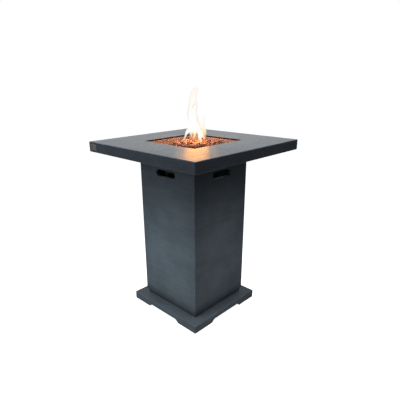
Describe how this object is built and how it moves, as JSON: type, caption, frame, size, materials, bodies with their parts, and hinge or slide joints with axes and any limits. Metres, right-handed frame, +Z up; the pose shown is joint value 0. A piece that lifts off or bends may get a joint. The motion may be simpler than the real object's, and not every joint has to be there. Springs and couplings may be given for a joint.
{
  "type": "gas fire pit bar table",
  "caption": "Bar-height square fire table: concrete top with a sunken gas burner under lava rock, on a hollow column with a cylinder bay, control panel and stepped plinth.",
  "frame": {"origin": "on the floor, under the middle of the tabletop", "axes": "+Z up; the two plain faces are -Y and +X, the access door is on +Y and the control panel on -X"},
  "size_m": [0.815, 0.815, 1],
  "materials": {
    "concrete": "satin",
    "pad_rubber": "matte",
    "zinc_steel": "satin",
    "stainless": "satin",
    "hinge_steel": "satin",
    "brass": "satin",
    "copper": "satin",
    "tube_aluminium": "satin",
    "lava": "matte",
    "insulator": "gloss",
    "black_plastic": "matte",
    "button_plastic": "satin",
    "battery_case": "gloss",
    "lead_sleeve": "matte",
    "door_paint": "satin"
  },
  "bodies": {
    "table": {"tabletop": "concrete", "column": "concrete", "plinth": "concrete", "foot_pads": "pad_rubber", "base_brackets": "zinc_steel", "base_bolts": "zinc_steel", "top_brackets": "zinc_steel", "top_bolts": "zinc_steel", "burner_pan": "stainless", "pan_screws": "zinc_steel", "burner_ring": "stainless", "burner_locknut": "brass", "air_mixer": "brass", "lava_rocks": "lava", "pilot_bracket": "zinc_steel", "electrode_insulator": "insulator", "electrode_rod": "stainless", "thermocouple": "copper", "heat_shield": "zinc_steel", "shield_screws": "zinc_steel", "gas_tube": "tube_aluminium", "tube_nuts": "brass", "gas_inlet": "brass", "valve_body": "brass", "valve_bonnet": "zinc_steel", "valve_cap": "brass", "valve_screws": "zinc_steel", "stem_spring": "zinc_steel", "control_panel": "stainless", "panel_screws": "zinc_steel", "igniter_body": "black_plastic", "igniter_nut": "black_plastic", "igniter_spring": "zinc_steel", "igniter_battery": "battery_case", "igniter_blades": "brass", "ignition_lead": "lead_sleeve", "thermocouple_lead": "copper", "hinge_leaves_column": "hinge_steel", "column_hinge_screws": "zinc_steel", "hinge_pins": "stainless", "magnet_catch": "black_plastic", "catch_screws": "zinc_steel", "cylinder_ring": "zinc_steel", "ring_bolts": "zinc_steel"},
    "door": {"door_panel": "door_paint", "door_pull": "stainless", "pull_screw": "zinc_steel", "door_strike": "zinc_steel", "hinge_leaves_door": "hinge_steel", "door_hinge_screws": "zinc_steel"},
    "valve_rotor": {"valve_plug": "brass"},
    "gas_knob": {"valve_stem": "stainless", "control_knob": "black_plastic"},
    "igniter": {"igniter_button": "button_plastic"}
  },
  "joints": [
    {"name": "door_swing", "type": "hinge", "parent": "table", "child": "door", "pos_m": [-0.1665, 0.2168, 0.37], "axis": [0, 0, 1], "range_deg": [0, 110]},
    {"name": "knob_turn", "type": "hinge", "parent": "table", "child": "valve_rotor", "pos_m": [-0.212, 0, 0.764], "axis": [-1, 0, 0], "range_deg": [0, 180]},
    {"name": "knob_press", "type": "slide", "parent": "valve_rotor", "child": "gas_knob", "axis": [1, 0, 0], "range_m": [0, 0.004], "stiffness_N_per_m": 800, "springref_m": -0.003, "deforming": ["stem_spring"]},
    {"name": "igniter_press", "type": "slide", "parent": "table", "child": "igniter", "axis": [1, 0, 0], "range_m": [0, 0.0035], "stiffness_N_per_m": 800, "springref_m": -0.003, "deforming": ["igniter_spring"]}
  ]
}
